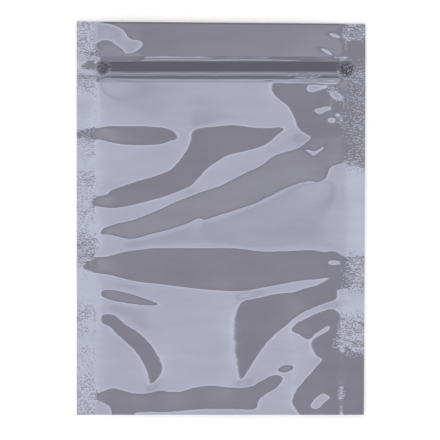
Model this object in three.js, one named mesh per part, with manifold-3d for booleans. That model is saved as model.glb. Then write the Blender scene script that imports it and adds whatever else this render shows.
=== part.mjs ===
import * as THREE from 'three';
import { mergeVertices } from 'three/addons/utils/BufferGeometryUtils.js';
import Module from 'manifold-3d';

// Flat zip-lock static shielding bag, empty, lying on its back with its mouth towards +Y.
// One folded web of metallised film makes both panels. The side seals are fused, and the
// two halves of a press-to-close zip are welded inside, one to each panel.
// Millimetres, +Z up. The origin is under the middle of the bag, on the surface it lies on.

const wasm = await Module();
wasm.setup();

// Bag outline
const bagWidth = 110;
const bagLength = 150;
const sealWidth = 10;
const mouthSkew = 0.9;
const edgeTaper = 0.6;

// Film
const filmWall = 0.08;
const innerGap = 0.06;
const foldInset = 0.15;
const foldRoll = 1.5;

// Zip: tapes, channel and rib
const zipBelowMouth = 16.8;
const tapeAbove = 2.1;
const tapeBelow = 5.9;
const tapeThickness = 0.15;
const channelHalfWidth = 1.7;
const channelWall = 0.5;
const channelHeight = 1.2;
const channelFloor = 0.15;
const hookReach = 0.6;
const hookDepth = 0.35;
const hookSlope = 0.15;
const channelChamfer = 0.2;
const ribHalfStem = 0.3;
const ribHalfNose = 0.35;
const ribClearance = 0.1;
const ribEndClearance = 0.5;
const barbClearance = 0.2;
const tapeBeadCount = 3;
const tapeBeadWidth = 0.4;
const tapeBeadHeight = 0.12;
const rootOverlap = 0.05;

// Zip ends, crushed flat where they run into the side seals
const crushLength = 1;
const crushRamp = 1;
const crushedHalf = 0.35;
const rampHalfWidth = 1.4;
const rampHeight = 0.75;
const endOverlap = 0.3;
const sealedZipRidge = 0.25;

// Relief of the film
const lipFall = 0.045;
const sealStiffness = 0.3;
const stiffReach = 9;
const liftReach = 16;
const pocketDepth = 6;

// Grid of the film's facets
const panelCells = 24;
const sealCells = 3;
const panelRows = 34;
const lipRows = 4;
const smoothingPasses = 2;

// Faces of the folds, where the film falls towards the mouth. Between them it rises again.
// Each station is a place across the bag, then the face's lower and upper edge there,
// in hundredths of the bag's width and length from its lower left corner.
const foldFaces = [
  {
    fall: 0.045, // short fold below the zip, from the left edge
    stations: [
      [0, 70.7, 72.2], [6.4, 70.3, 72.3], [12.3, 69.1, 73.3], [20.3, 68.4, 73.3],
      [28.9, 68.7, 73.1], [33.7, 69.7, 71.9], [35, 70.5, 70.5],
    ],
  },
  {
    fall: 0.045, // upper diagonal fold
    stations: [
      [5.4, 54, 54], [7.8, 53, 55.5], [11.6, 52.5, 57], [19.5, 53.3, 59], [28.9, 55, 61],
      [35.4, 56.7, 64.3], [39.5, 57.9, 69.8], [42.9, 60.6, 73], [51.5, 65.6, 73.5],
      [65.5, 68.6, 72.9], [72.4, 72.6, 72.6],
    ],
  },
  {
    fall: 0.03, // lower diagonal fold, up to the right edge
    stations: [
      [8.6, 46, 46.1], [14, 45.4, 48.5], [19, 44.7, 49.3], [29.7, 46.7, 52.3],
      [42.8, 50.3, 56.3], [58.5, 52.9, 61.3], [72.6, 57.6, 66.7], [80.9, 59.4, 70.3],
      [87.8, 62.7, 70.5], [95.5, 64.5, 70.6], [100, 62.7, 70.6],
    ],
  },
  {
    fall: 0.03, // right shoulder, under the zip
    stations: [
      [67.9, 82.5, 84], [70.8, 79.7, 85], [74.8, 76.7, 85], [76.5, 73, 85],
      [81, 70.3, 85], [100, 70.5, 85],
    ],
  },
  {
    fall: 0.05, // long fold across the middle
    stations: [
      [2.3, 37.7, 37.7], [5.4, 36.4, 39.5], [11.9, 35.5, 40.5], [22.4, 33.7, 42],
      [40, 32.2, 42.3], [55.3, 31.4, 42.3], [64.3, 32.2, 41.5], [79.5, 34.3, 41.8],
      [90.3, 35, 41.6], [94.7, 32.2, 39.8], [96.8, 35.3, 36.8],
    ],
  },
  {
    fall: 0.05, // crescent at the lower left
    stations: [
      [9, 23.2, 25.6], [12.3, 21.8, 25.6], [15.5, 19.5, 24.1], [19.5, 16.9, 21.9],
      [23.2, 12.9, 20], [25.1, 7.3, 18.5], [27.5, 8.4, 16.2], [29.6, 11.7, 11.7],
    ],
  },
  {
    fall: 0.04, // tall triangular face right of the middle
    stations: [
      [55, 21.5, 21.5], [55.7, 12.9, 26.9], [57, 8.3, 28.4], [60, 11.2, 29.5],
      [66, 18.1, 30.3], [72.6, 22.5, 31], [79.4, 26.2, 32.2], [86.7, 28.1, 34.3],
      [90.8, 30.2, 32.1],
    ],
  },
  {
    fall: 0.045, // short fold beside the right seal
    stations: [
      [75, 21.3, 21.8], [78.8, 19.7, 24.1], [81.2, 19.2, 25], [86.1, 21.7, 26.7],
      [89.5, 17.7, 27.2], [91.6, 20, 25.6],
    ],
  },
  {
    fall: 0.04, // lifted lower right corner
    stations: [
      [75.6, 3.3, 3.7], [76.9, 0.9, 6.4], [80.1, 0, 9.3], [83.6, 0, 12.4], [85.5, 0, 14.1],
      [89.5, 0, 17.7], [91.6, 0, 20], [100, 0, 17.2],
    ],
  },
  {
    fall: 0.045, // roll along the bottom fold
    stations: [
      [6.9, 4, 4.8], [11.3, 2.3, 6.5], [19.5, 1, 5.5], [25.5, 1, 5.7], [44.5, 1.5, 7.3],
      [61.8, 1.3, 7.3], [64.9, 4.8, 8.8], [69.5, 6.7, 10.1], [71.7, 9.1, 9.1],
    ],
  },
];

// The one face of the lip above the zip that rises towards the mouth, at the left seal.
const lipRise = [
  [0, 90.1, 100], [7.8, 90.1, 99.8], [9.2, 95.3, 99.3], [14, 93.9, 98.6],
  [17.2, 91.5, 96.1], [19.9, 92.1, 95.2], [22.5, 94.3, 94.3],
];

// Heights and places that follow from the sizes above. Places count from the bag's
// lower left corner until the finished pieces move to the origin.
const tapeBottom = bagLength - zipBelowMouth - tapeBelow;
const tapeTop = bagLength - zipBelowMouth + tapeAbove;
const zipCentre = bagLength - zipBelowMouth;
const sealLeft = sealWidth;
const sealRight = bagWidth - sealWidth;
const channelTop = tapeThickness + channelHeight;
const zipHeight = channelTop + ribClearance + tapeThickness;
const zipTop = 2 * filmWall + zipHeight;
const crushedTop = 2 * filmWall + 2 * crushedHalf;
const sealedZipTop = 2 * filmWall + sealedZipRidge;
const flatTop = 2 * filmWall + innerGap;

const { clamp, lerp, smoothstep } = THREE.MathUtils;

function onZip(y) {
  return y >= tapeBottom && y <= tapeTop;
}

// Lower and upper edge of a fold's face at one place across the bag, or null beside it
function faceAt(stations, x) {
  const share = (100 * x) / bagWidth;
  for (let i = 1; i < stations.length; i += 1) {
    const [x0, low0, high0] = stations[i - 1];
    const [x1, low1, high1] = stations[i];
    if (share >= x0 && share <= x1) {
      const t = (share - x0) / (x1 - x0);
      return [lerp(low0, low1, t), lerp(high0, high1, t)].map((v) => (v * bagLength) / 100);
    }
  }
  return null;
}

// How far below y the film lies inside a face
function covered([low, high], y) {
  return clamp(y, low, high) - low;
}

// Softening of the relief towards the side seals, which are stiffer than one film
function slack(x) {
  const fromSeal = Math.min(x - sealLeft, sealRight - x);
  return lerp(sealStiffness, 1, smoothstep(fromSeal, 0, stiffReach));
}

// Height of the front film over the zip: crushed at the seals and a low ridge in them
function zipHeightAt(x) {
  const fromSeal = Math.min(x - sealLeft, sealRight - x);
  if (fromSeal < 0) {
    return sealedZipTop;
  }
  const rise = clamp((fromSeal - crushLength) / crushRamp, 0, 1);
  return lerp(crushedTop, zipTop, rise);
}

// Outer face of the front film between the bottom fold and the zip
function panelHeight(x, y) {
  const faces = foldFaces
    .map(({ fall, stations }) => ({ fall, edges: faceAt(stations, x) }))
    .filter(({ edges }) => edges !== null);
  const soft = slack(x);
  const drop = (height) =>
    faces.reduce((sum, { fall, edges }) => sum + soft * fall * covered(edges, height), 0);
  const inFaces = (height) => faces.reduce((sum, { edges }) => sum + covered(edges, height), 0);

  const rolled = faces.filter(({ edges }) => edges[0] <= foldRoll);
  const lift = rolled.reduce((sum, { fall, edges }) => sum + fall * (edges[1] - edges[0]), 0);
  const start = flatTop + soft * lift;
  if (y === 0 && rolled.every(({ edges }) => edges[0] > 0)) {
    return flatTop;
  }
  const freeLength = tapeBottom - inFaces(tapeBottom);
  const rise = (zipHeightAt(x) - start + drop(tapeBottom)) / freeLength;
  const height = start + rise * (y - inFaces(y)) - drop(y);
  return Math.max(height, flatTop);
}

// Outer face of the front film above the zip
function lipHeight(x, y) {
  const edges = faceAt(lipRise, x);
  const rising = edges ? covered(edges, y) : 0;
  const height = zipHeightAt(x) - slack(x) * lipFall * (y - tapeTop - 2 * rising);
  return Math.max(height, flatTop);
}

function frontHeight(x, y) {
  if (onZip(y)) {
    return zipHeightAt(x);
  }
  return y > tapeTop ? lipHeight(x, y) : panelHeight(x, y);
}

// Outer face of the back film: flat on the table in the middle and under the zip, and
// lifted with the front film along the seals and the bottom fold
function backHeight(x, y, front) {
  if (onZip(y)) {
    return 0;
  }
  const fromSeal = Math.min(x - sealLeft, sealRight - x);
  const room = pocketDepth * smoothstep(fromSeal, 0, liftReach) * clamp(y / liftReach, 0, 1);
  return Math.max(0, front - flatTop - room);
}

// Evenly spaced grid lines from one place to another, both included
function spread(from, to, cells) {
  return Array.from({ length: cells + 1 }, (_, i) => lerp(from, to, i / cells));
}

// Grid lines of the film. The pocket between the panels uses those between the seals.
const rampEnd = crushLength + crushRamp;
const pocketColumns = [
  sealLeft,
  sealLeft + crushLength,
  ...spread(sealLeft + rampEnd, sealRight - rampEnd, panelCells),
  sealRight - crushLength,
  sealRight,
];
const filmColumns = [
  ...spread(0, sealLeft, sealCells).slice(0, -1),
  ...pocketColumns,
  ...spread(sealRight, bagWidth, sealCells).slice(1),
];
const filmRows = [
  0,
  ...spread(foldRoll, tapeBottom, panelRows),
  ...spread(tapeTop, bagLength, lipRows),
];

// Film carries a fold sideways a little, so heights are evened out across the bag
function evenOut(heights) {
  return heights.map((line, row) => {
    if (onZip(filmRows[row])) {
      return line;
    }
    return line.map((height, i) => {
      const before = line[Math.max(i - 1, 0)];
      const after = line[Math.min(i + 1, line.length - 1)];
      return (before + 2 * height + after) / 4;
    });
  });
}

let frontHeights = filmRows.map((y) => filmColumns.map((x) => frontHeight(x, y)));
for (let pass = 0; pass < smoothingPasses; pass += 1) {
  frontHeights = evenOut(frontHeights);
}
const backHeights = filmRows.map((y, row) =>
  filmColumns.map((x, column) => backHeight(x, y, frontHeights[row][column])),
);

// Place of a value among rising grid lines: the line before it and the share beyond that
function amongLines(lines, value) {
  const held = clamp(value, lines[0], lines[lines.length - 1]);
  const i = Math.max(lines.findIndex((line) => line >= held) - 1, 0);
  return [i, (held - lines[i]) / (lines[i + 1] - lines[i])];
}

// Height anywhere on the film, from its heights on the grid lines
function heightFrom(heights) {
  return (x, y) => {
    const [column, across] = amongLines(filmColumns, x);
    const [row, along] = amongLines(filmRows, y);
    const at = (line) => lerp(heights[line][column], heights[line][column + 1], across);
    return lerp(at(row), at(row + 1), along);
  };
}

// Closed solid between an upper and a lower surface over the same grid lines
function sheetSolid(columns, rows, upper, lower) {
  const across = columns.length - 1;
  const along = rows.length - 1;
  const box = new THREE.BoxGeometry(1, 1, 1, across, along, 1);
  box.deleteAttribute('normal');
  box.deleteAttribute('uv');
  const geometry = mergeVertices(box);
  const position = geometry.getAttribute('position');
  for (let i = 0; i < position.count; i += 1) {
    const x = columns[Math.round((position.getX(i) + 0.5) * across)];
    const y = rows[Math.round((position.getY(i) + 0.5) * along)];
    const z = position.getZ(i) > 0 ? upper(x, y) : lower(x, y);
    position.setXYZ(i, x, y, z);
  }
  return geometry;
}

function toManifold(geometry) {
  const bare = geometry.clone();
  bare.deleteAttribute('normal');
  bare.deleteAttribute('uv');
  const merged = mergeVertices(bare);
  return new wasm.Manifold(
    new wasm.Mesh({
      numProp: 3,
      vertProperties: new Float32Array(merged.getAttribute('position').array),
      triVerts: new Uint32Array(merged.getIndex().array),
    }),
  );
}

function toGeometry(solid) {
  const mesh = solid.getMesh();
  const geometry = new THREE.BufferGeometry();
  geometry.setAttribute('position', new THREE.BufferAttribute(mesh.vertProperties, 3));
  geometry.setIndex(new THREE.BufferAttribute(mesh.triVerts, 1));
  return geometry;
}

// The mouth is cut a little out of square, and the right edge comes in towards the bottom.
// The zip between them stays straight.
function trimOutline(geometry) {
  const position = geometry.getAttribute('position');
  for (let i = 0; i < position.count; i += 1) {
    const x = position.getX(i);
    const y = position.getY(i);
    const across = x / bagWidth;
    const aboveZip = Math.max(0, (y - tapeTop) / (bagLength - tapeTop));
    const belowZip = Math.max(0, (tapeBottom - y) / tapeBottom);
    position.setX(i, x - edgeTaper * across * belowZip);
    position.setY(i, y - mouthSkew * across * aboveZip);
  }
  return geometry;
}

// Film body: the whole folded web with its pocket open at the mouth
function filmBody() {
  const frontOuter = heightFrom(frontHeights);
  const backOuter = heightFrom(backHeights);
  const frontInner = (x, y) => frontOuter(x, y) - filmWall;
  const backInner = (x, y) => backOuter(x, y) + filmWall;
  const pocketRows = [foldInset, ...filmRows.slice(1), bagLength + foldRoll];
  const web = toManifold(sheetSolid(filmColumns, filmRows, frontOuter, backOuter));
  const pocket = toManifold(sheetSolid(pocketColumns, pocketRows, frontInner, backInner));
  return trimOutline(toGeometry(web.subtract(pocket)));
}

// Extrusion of a section drawn across the zip: its first axis is the bag's length and its
// second is height, both from the middle of the zip on the back film's inner face
function zipRun(points, from, to) {
  const section = new THREE.Shape(points.map(([y, z]) => new THREE.Vector2(y, z)));
  const geometry = new THREE.ExtrudeGeometry(section, { depth: to - from, bevelEnabled: false });
  const turn = new THREE.Matrix4().makeBasis(
    new THREE.Vector3(0, 1, 0),
    new THREE.Vector3(0, 0, 1),
    new THREE.Vector3(1, 0, 0),
  );
  geometry.applyMatrix4(turn);
  geometry.translate(from, zipCentre, filmWall);
  return toManifold(geometry);
}

// Extrusion of a section drawn along the zip, at its left end: its first axis is the
// distance from the seal and its second is height. The right end is its mirror image.
function zipEnds(points, low, high) {
  const section = new THREE.Shape(points.map(([x, z]) => new THREE.Vector2(x, z)));
  const geometry = new THREE.ExtrudeGeometry(section, { depth: high - low, bevelEnabled: false });
  geometry.rotateX(Math.PI / 2);
  geometry.translate(0, zipCentre + high, filmWall);
  const left = toManifold(geometry);
  const right = left.mirror([1, 0, 0]);
  return left.translate([sealLeft, 0, 0]).add(right.translate([sealRight, 0, 0]));
}

// Outline points of the small beads on the tape below the profile, from the profile outwards
function tapeBeads(face, side) {
  const pitch = (tapeBelow - channelHalfWidth) / (tapeBeadCount + 1);
  return Array.from({ length: tapeBeadCount }, (_, i) => {
    const middle = -channelHalfWidth - pitch * (i + 1);
    return [
      [middle + tapeBeadWidth / 2, face],
      [middle, face + side * tapeBeadHeight],
      [middle - tapeBeadWidth / 2, face],
    ];
  }).flat();
}

const mirrored = (points) => points.map(([y, z]) => [-y, z]).reverse();
const runStart = sealLeft + rampEnd;
const runEnd = sealRight - rampEnd;
const slotHalf = channelHalfWidth - channelWall;
const hookOpening = slotHalf - hookReach;
const hookTip = channelTop - hookDepth;

// Channel half of the zip, on the back film
function channelStrip() {
  const wall = [
    [channelHalfWidth, tapeThickness],
    [channelHalfWidth, channelTop - channelChamfer],
    [channelHalfWidth - channelChamfer, channelTop],
    [hookOpening + channelChamfer, channelTop],
    [hookOpening, channelTop - channelChamfer],
    [hookOpening, hookTip],
    [slotHalf, hookTip - hookSlope],
    [slotHalf, tapeThickness + channelFloor],
  ];
  const run = zipRun(
    [
      [-tapeBelow, 0],
      [tapeAbove, 0],
      [tapeAbove, tapeThickness],
      ...wall,
      ...mirrored(wall),
      ...tapeBeads(tapeThickness, 1),
      [-tapeBelow, tapeThickness],
    ],
    runStart,
    runEnd,
  );
  const crushed = zipEnds(
    [
      [0, 0],
      [rampEnd + endOverlap, 0],
      [rampEnd + endOverlap, tapeThickness],
      [rampEnd, tapeThickness],
      [crushLength, crushedHalf],
      [0, crushedHalf],
    ],
    -tapeBelow,
    tapeAbove,
  );
  const ramp = zipEnds(
    [
      [crushLength / 2, filmWall],
      [rampEnd + endOverlap, filmWall],
      [rampEnd + endOverlap, rampHeight],
      [rampEnd, rampHeight],
      [crushLength, crushedHalf],
      [crushLength / 2, crushedHalf / 2],
    ],
    -rampHalfWidth,
    rampHalfWidth,
  );
  return toGeometry(run.add(crushed).add(ramp));
}

// Rib half of the zip, on the front film, with its barbed head under the channel's hooks
function ribStrip() {
  const tapeFace = channelTop + ribClearance;
  const barbHalf = slotHalf - barbClearance;
  const barbRoot = hookTip - ribClearance;
  const nose = tapeThickness + channelFloor + ribClearance;
  const rib = [
    [ribHalfStem, tapeFace + rootOverlap],
    [ribHalfStem, barbRoot],
    [barbHalf, barbRoot - hookSlope],
    [ribHalfNose, nose],
  ];
  const tape = zipRun(
    [
      [tapeAbove, tapeFace],
      [tapeAbove, zipHeight],
      [-tapeBelow, zipHeight],
      [-tapeBelow, tapeFace],
      ...tapeBeads(tapeFace, -1).reverse(),
    ],
    runStart,
    runEnd,
  );
  const head = zipRun([...rib, ...mirrored(rib)], runStart + ribEndClearance, runEnd - ribEndClearance);
  const crushed = zipEnds(
    [
      [0, crushedHalf],
      [crushLength, crushedHalf],
      [rampEnd, tapeFace],
      [rampEnd + endOverlap, tapeFace],
      [rampEnd + endOverlap, zipHeight],
      [rampEnd, zipHeight],
      [crushLength, 2 * crushedHalf],
      [0, 2 * crushedHalf],
    ],
    -tapeBelow,
    tapeAbove,
  );
  return toGeometry(tape.add(head).add(crushed));
}

const filmMaterial = new THREE.MeshStandardMaterial({
  color: 0x9a99ab,
  roughness: 0.25,
  metalness: 0.85,
});
const channelMaterial = new THREE.MeshStandardMaterial({
  color: 0xc9cacc,
  roughness: 0.45,
  metalness: 0,
});
const ribMaterial = new THREE.MeshStandardMaterial({
  color: 0xcfd0d2,
  roughness: 0.4,
  metalness: 0,
});

const bag = new THREE.Group();
bag.name = 'static_shielding_bag';
const pieces = [
  ['film_body', filmBody(), filmMaterial],
  ['zip_channel_strip', channelStrip(), channelMaterial],
  ['zip_rib_strip', ribStrip(), ribMaterial],
];
for (const [name, geometry, material] of pieces) {
  const mesh = new THREE.Mesh(geometry, material);
  mesh.name = name;
  bag.add(mesh);
}
bag.position.set(-bagWidth / 2, -bagLength / 2, 0);

export default bag;
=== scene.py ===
import math

import bpy
import bmesh
import numpy as np
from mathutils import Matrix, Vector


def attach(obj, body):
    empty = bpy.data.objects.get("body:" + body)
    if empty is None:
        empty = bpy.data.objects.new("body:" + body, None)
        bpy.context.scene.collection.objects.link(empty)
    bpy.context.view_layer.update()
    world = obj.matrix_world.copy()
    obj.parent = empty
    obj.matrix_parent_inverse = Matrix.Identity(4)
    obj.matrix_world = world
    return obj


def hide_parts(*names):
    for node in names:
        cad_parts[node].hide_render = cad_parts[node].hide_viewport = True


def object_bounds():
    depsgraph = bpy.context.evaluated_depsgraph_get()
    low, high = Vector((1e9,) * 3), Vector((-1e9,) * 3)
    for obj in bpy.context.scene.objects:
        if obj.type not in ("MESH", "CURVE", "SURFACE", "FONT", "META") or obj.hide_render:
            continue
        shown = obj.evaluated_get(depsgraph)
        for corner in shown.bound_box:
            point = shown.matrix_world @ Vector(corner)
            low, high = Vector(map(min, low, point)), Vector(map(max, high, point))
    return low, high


# Empty zip-lock shielding bag lying on its back, seen from straight above.
# The film is a mirror-like metallised plastic. Its light areas reflect a large softbox on
# the bottom side of the picture and its dark areas the unlit side of the studio, so the
# pattern on it comes from the slopes of the film's folds.

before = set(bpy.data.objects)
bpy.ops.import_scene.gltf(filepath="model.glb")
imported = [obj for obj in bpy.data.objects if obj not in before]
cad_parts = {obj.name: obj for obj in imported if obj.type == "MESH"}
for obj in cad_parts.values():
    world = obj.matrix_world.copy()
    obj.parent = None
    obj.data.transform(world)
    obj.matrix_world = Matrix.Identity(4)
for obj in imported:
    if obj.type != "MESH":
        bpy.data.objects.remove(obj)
cad_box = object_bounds()

# Scale of the photograph: the bag's corners in its pixels, and the bag's real size
MM = 0.001
PHOTO_LEFT, PHOTO_RIGHT = 76.5, 365.8
PHOTO_TOP, PHOTO_BOTTOM = 21.5, 414.8
PHOTO_SIDE = 440
BAG_WIDTH = cad_box[1][0] - cad_box[0][0]
BAG_LENGTH = cad_box[1][1] - cad_box[0][1]
PIXEL = BAG_LENGTH / (PHOTO_BOTTOM - PHOTO_TOP)
PIXEL_ACROSS = BAG_WIDTH / (PHOTO_RIGHT - PHOTO_LEFT)

# The bag, as its solids have it. The zip's three distances are in millimetres.
SEAL_WIDTH = 10 * MM
FILM_WALL = 0.08 * MM
INNER_GAP = 0.06 * MM
FOLD_INSET = 0.15 * MM
MOUTH_SKEW = 0.9 * MM
EDGE_TAPER = 0.6 * MM
ZIP_BELOW_MOUTH = 16.8
TAPE_BELOW_ZIP = 5.9
TAPE_ABOVE_ZIP = 2.1
TAPE_BOTTOM = BAG_LENGTH - (ZIP_BELOW_MOUTH + TAPE_BELOW_ZIP) * MM
TAPE_TOP = BAG_LENGTH - (ZIP_BELOW_MOUTH - TAPE_ABOVE_ZIP) * MM
ZIP_TOP = 1.76 * MM
SEALED_ZIP_TOP = 0.41 * MM
CRUSH_LENGTH = 1 * MM
CRUSH_RAMP = 1 * MM
CRUSH_RUN_OUT = 2.5 * MM
LIFT_REACH = 16 * MM
POCKET_DEPTH = 6 * MM
FLAT_TOP = 2 * FILM_WALL + INNER_GAP
SAME_PLACE = 1e-9

# Grid of the film: cells of its front face. Its other faces have half as many each way.
CELLS_ACROSS = 176
CELLS_ALONG = 250

# Faces of the folds, where the film falls towards the mouth. Each station is a place across
# the bag and the face's upper and lower edge there, in pixels of the photograph.
FALLING_FACES = {
    "short_left": (0.02, [
        (76, 130.5, 136.5), (85, 131.5, 136.5), (95, 130, 138), (101, 128, 139),
        (107, 126.3, 141), (112, 126, 142.5), (122, 126, 144.5), (135, 126, 145.5),
        (148, 126.3, 145.5), (160, 127.2, 144.5), (166, 128.2, 143), (170, 129.3, 140.8),
        (174, 131.5, 140.2), (176.5, 135, 139.8), (177.5, 137.5, 137.5),
    ]),
    "diagonal_upper": (0.02, [
        (92, 202, 202), (95, 198.5, 204), (99, 196.5, 205.8), (103, 196, 207),
        (107, 195.2, 207.6), (110, 190.6, 207.9), (116, 188, 207.9), (125, 185.2, 206.8),
        (133, 182.4, 205.2), (141.6, 179.8, 203), (150.8, 177.3, 200.6), (160, 174.3, 198.2),
        (168.2, 170.9, 195.6), (174.3, 166.8, 193.2), (178.6, 161.5, 191.7),
        (183, 156, 190), (187, 150, 188.5), (190.5, 140, 187), (191.2, 132.5, 186.6),
        (194.7, 129.2, 183), (200.3, 127.7, 176.3), (206, 127, 170), (213, 126.5, 164.3),
        (220, 125.8, 160), (225, 125.2, 156.6), (235.3, 125, 153.5), (245.5, 126.2, 151.4),
        (255.7, 127.6, 148.8), (265.9, 128, 144.7), (272, 127.9, 140.6),
        (278.2, 127.2, 134.8), (283.3, 127.7, 130.7), (285.5, 129, 129),
    ]),
    "diagonal_lower": (0.055, [
        (101.5, 233.5, 234), (103.4, 229.1, 233.6), (110, 226.2, 234), (117, 224, 236),
        (124.3, 222.5, 237.8), (131.4, 220.9, 238.8), (137.8, 218.7, 237.8),
        (149, 214.4, 234.2), (162.4, 208.7, 231), (175, 202.6, 227.5), (187, 197.9, 223.5),
        (196, 194.6, 219), (200, 193, 216.5), (204, 191.6, 220.4), (209, 190, 218.4),
        (220, 186.9, 214.6), (232, 180.6, 211.2), (245.5, 173.5, 206.6), (258, 168.2, 202.3),
        (266, 163.3, 197.8), (271, 158.6, 195.8), (278.2, 154.6, 192), (286.3, 152.3, 187.9),
        (295.5, 149.8, 184.5), (301.6, 147.2, 182.6), (306.7, 142.7, 181.5),
        (310.3, 138, 181), (319, 137.8, 182.7), (323, 137.5, 181.6), (326.7, 137.3, 178),
        (328.2, 137.2, 173.5), (329.2, 137, 169.4), (332.2, 136.8, 166), (337, 136.5, 164.5),
        (341.5, 136, 163.5), (346, 136, 161), (352, 136, 161), (358, 136, 163),
        (366, 136, 168),
    ]),
    "right_shoulder": (0.026, [
        (272.5, 84, 90), (273, 83, 91), (275, 82, 95.7), (281.2, 82, 100.8),
        (288.4, 82, 106.4), (292.4, 82, 113), (295.5, 82, 120.2), (297.6, 82, 127.3),
        (301.6, 82, 131.9), (310.3, 82, 138), (319, 82, 137.8), (330, 82, 137),
        (341.5, 82, 136), (366, 82, 136),
    ]),
    "long_band": (0.027, [
        (83, 266.3, 266.3), (86, 263, 269), (92, 259.5, 271.5), (97, 257.7, 272.5),
        (104.4, 257.3, 274.3), (111, 255.6, 275), (119, 253, 277.3), (128.6, 251, 280.2),
        (141, 249.4, 282.3), (152, 248.2, 283.4), (160, 248, 284.2), (175, 248, 286),
        (192, 248, 288), (208, 248, 289.5), (220, 248, 290.2), (236, 248.2, 291.3),
        (244, 249, 291.7), (250, 249.8, 291), (262, 251.4, 288), (275, 251.4, 285.4),
        (291, 251, 282.3), (306, 250.2, 279.9), (315, 250, 279.4), (320, 251.2, 279.1),
        (326, 252, 278.1), (332, 251, 277.2), (336, 251, 276.9), (337.5, 251.2, 288),
        (341, 254, 289), (345, 256, 289), (350, 258, 288), (353, 261, 286.5),
        (355, 265, 282), (356, 270, 276),
    ]),
    "faint_left": (0.045, [
        (102.5, 290.5, 296), (108, 289.8, 299), (118, 291, 301.5), (130, 294, 303.4),
        (142, 298, 304.6), (152, 301.5, 305), (160, 304.5, 304.9),
    ]),
    "crescent": (0.02, [
        (102.5, 314, 323.5), (106, 314, 325), (110, 313.8, 326.5), (112, 313.9, 329),
        (116, 315.5, 334), (121, 320, 338), (126, 325, 342.3), (133, 328.5, 348.5),
        (140, 333, 357.5), (143.5, 336, 364), (146, 338.5, 370.5), (148, 340.7, 378),
        (149, 342, 386), (151, 344, 385.5), (156, 351, 381.6), (159, 357, 377.5),
        (161, 363, 373.8), (162, 368.5, 368.5),
    ]),
    "sail": (0.02, [
        (235.3, 330, 330), (235.8, 318, 341), (237.3, 309, 364), (239, 305, 377),
        (241, 303, 382), (243, 301, 381), (246, 299.2, 377), (249.6, 298.5, 370.8),
        (253.7, 298.1, 364), (257.8, 297.6, 356.5), (263, 296.6, 349.4),
        (267, 295.6, 343.3), (273, 294.3, 337), (280, 293.3, 331), (286.3, 292.8, 326.4),
        (289, 292.7, 323.5), (292.4, 292.5, 319.8), (298, 291.3, 315.7),
        (305.7, 288, 311.6), (316, 285.8, 307.5), (322, 283.1, 305.7), (327, 279.9, 304.2),
        (331, 278.6, 303), (335.5, 277.6, 301.6), (337.5, 287.5, 300.5),
        (338.6, 288.5, 296),
    ]),
    "right_pocket": (0.02, [
        (293, 329, 331), (295, 326, 332), (299, 322.5, 333.5), (304, 320, 337),
        (309, 317.5, 340.4), (311, 316.5, 339.2), (315, 314.4, 335.5), (320, 311.9, 332),
        (325, 309.8, 329.5), (328, 308.6, 326.5), (330, 308, 325), (335, 307.6, 345),
        (338, 309.5, 345), (341, 314, 345),
    ]),
    "corner": (0.026, [
        (294.8, 400, 402), (296, 395, 407), (298.5, 389.5, 411), (303, 383.5, 416),
        (307.7, 378, 416), (312.8, 372.8, 416), (318, 366, 416), (321, 362, 416),
        (323.5, 359.3, 416), (330, 345, 416), (335, 345, 416), (341, 340, 416),
        (346, 345, 416), (356, 350, 416), (366, 352, 416),
    ]),
    "pocket_inner": (0.02, [
        (313, 342, 346.5), (314.5, 339, 352), (317.5, 336.4, 356.5), (320.5, 334.8, 359),
        (323.5, 333.6, 359.4), (326, 332.4, 359.4), (330, 329.6, 359.4),
        (331.2, 325.5, 359.4), (335, 325.5, 359.4),
    ]),
    "bottom_roll": (0.028, [
        (96.5, 396, 399), (98, 393, 401), (104, 391, 403), (109, 389, 405.5),
        (111, 388.6, 409), (112, 388.4, 416), (114.5, 388, 416), (120, 390, 416),
        (128, 392, 416), (133, 393.2, 416), (135, 393.5, 412.3), (143, 394, 411.9),
        (150, 392.5, 411.8), (157, 390.2, 411.9), (162, 390.5, 412), (167, 392, 411.9),
        (174, 392, 411.4), (180, 392.4, 411), (187, 390, 410.2), (196, 387.5, 409.4),
        (205, 386, 409), (214, 385.5, 409), (220, 386.5, 409), (230, 387.8, 409),
        (240, 387.2, 409.2), (250, 386.5, 409.8), (255, 386, 409.6), (258, 383, 408.3),
        (259.5, 382, 399.5), (264, 380.2, 395.9), (270, 376.5, 392), (277, 374.8, 388.5),
        (282, 375.5, 382.5), (283.7, 378.5, 379.5),
    ]),
    "small_lens": (0.055, [
        (279, 369.5, 370.5), (281, 367.8, 371.5), (283, 366.5, 371.8), (286, 365.7, 372),
        (288, 365.3, 371.4), (291, 365.6, 370), (293, 366, 368.8), (294.5, 367.5, 367.5),
    ]),
    "lip": (0.02, [(87, 20, 62), (366, 20, 62)]),
    "sealed_zip_left": (0.02, [(82, 65.5, 66.5), (86, 63, 69), (99, 62.5, 69.5)]),
    "sealed_zip_right": (0.014, [(339, 61, 83), (366, 61, 83)]),
}

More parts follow.
